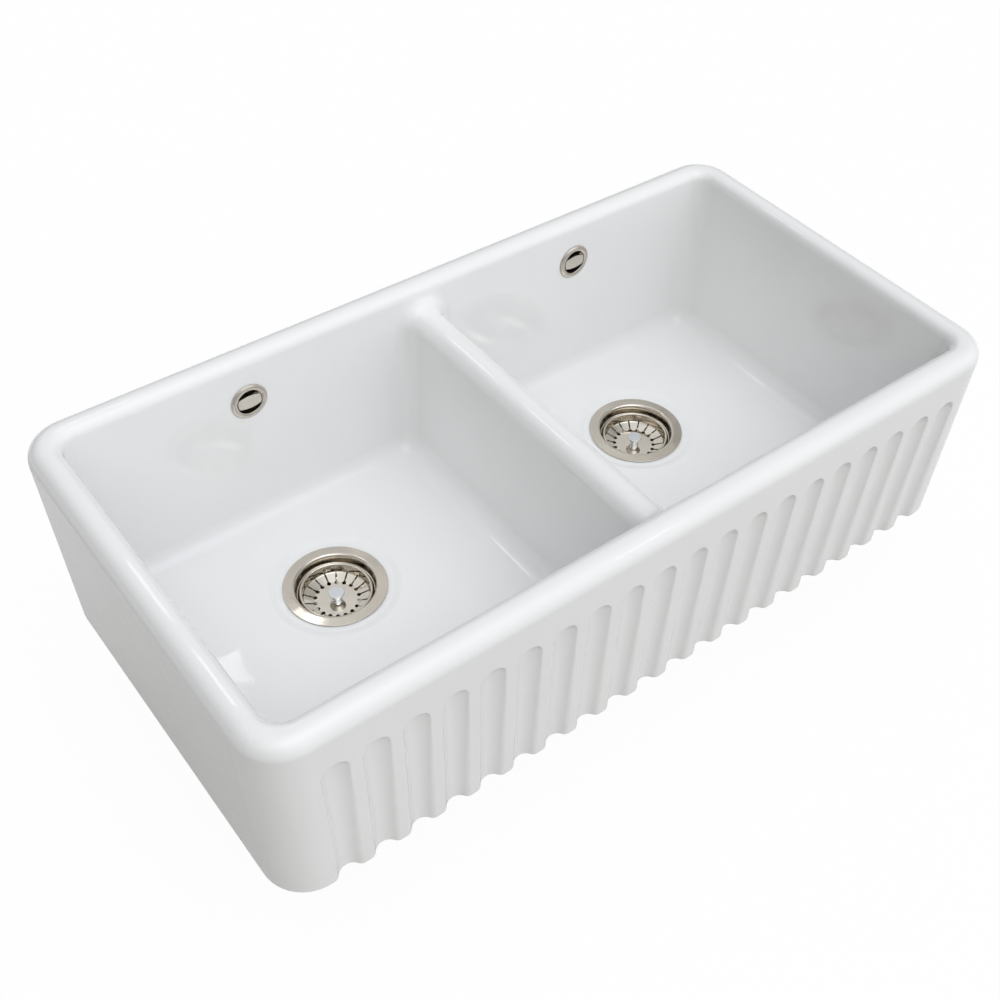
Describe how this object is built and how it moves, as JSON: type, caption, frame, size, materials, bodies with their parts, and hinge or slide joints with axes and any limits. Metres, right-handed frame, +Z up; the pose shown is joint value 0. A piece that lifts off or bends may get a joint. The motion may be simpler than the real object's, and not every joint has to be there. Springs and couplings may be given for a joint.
{
  "type": "farmhouse apron front sink",
  "caption": "Double-bowl fireclay kitchen sink with a fluted apron front, low divider, lift-out basket strainers and overflow fittings.",
  "frame": {"origin": "centre of the fireclay body's flat base, on its underside", "axes": "+X to the right along the front, +Y from the fluted front to the back, +Z up"},
  "size_m": [0.895, 0.496, 0.311],
  "materials": {
    "glaze": "gloss white glaze on fireclay",
    "satin_steel": "satin stainless steel",
    "polished_steel": "polished stainless steel",
    "chrome": "polished",
    "rubber": "matte",
    "moulded_plastic": "moulded polypropylene"
  },
  "bodies": {
    "sink": {"sink_body": "glaze", "left_strainer_body": "satin_steel", "left_flange_seal": "rubber", "left_floor_gasket": "rubber", "left_waste_body": "moulded_plastic", "left_waste_screw": "satin_steel", "left_overflow_ring": "satin_steel", "left_overflow_plate": "satin_steel", "left_overflow_seal": "rubber", "left_overflow_back_seal": "rubber", "left_overflow_elbow": "moulded_plastic", "right_strainer_body": "satin_steel", "right_flange_seal": "rubber", "right_floor_gasket": "rubber", "right_waste_body": "moulded_plastic", "right_waste_screw": "satin_steel", "right_overflow_ring": "satin_steel", "right_overflow_plate": "satin_steel", "right_overflow_seal": "rubber", "right_overflow_back_seal": "rubber", "right_overflow_elbow": "moulded_plastic"},
    "left_plug": {"left_basket_stem": "chrome", "left_basket_seal": "rubber"},
    "left_basket": {"left_strainer_basket": "polished_steel", "left_basket_knob": "chrome"},
    "right_plug": {"right_basket_stem": "chrome", "right_basket_seal": "rubber"},
    "right_basket": {"right_strainer_basket": "polished_steel", "right_basket_knob": "chrome"}
  },
  "joints": [
    {"name": "left_basket_lift", "type": "slide", "parent": "sink", "child": "left_plug", "axis": [0, 0, 1], "range_m": [-0.006, 0.27]},
    {"name": "left_basket_turn", "type": "hinge", "parent": "left_plug", "child": "left_basket", "pos_m": [-0.21575, 0.06, 0], "axis": [0, 0, 1], "continuous": true},
    {"name": "right_basket_lift", "type": "slide", "parent": "sink", "child": "right_plug", "axis": [0, 0, 1], "range_m": [-0.006, 0.27]},
    {"name": "right_basket_turn", "type": "hinge", "parent": "right_plug", "child": "right_basket", "pos_m": [0.21575, 0.06, 0], "axis": [0, 0, 1], "continuous": true}
  ]
}
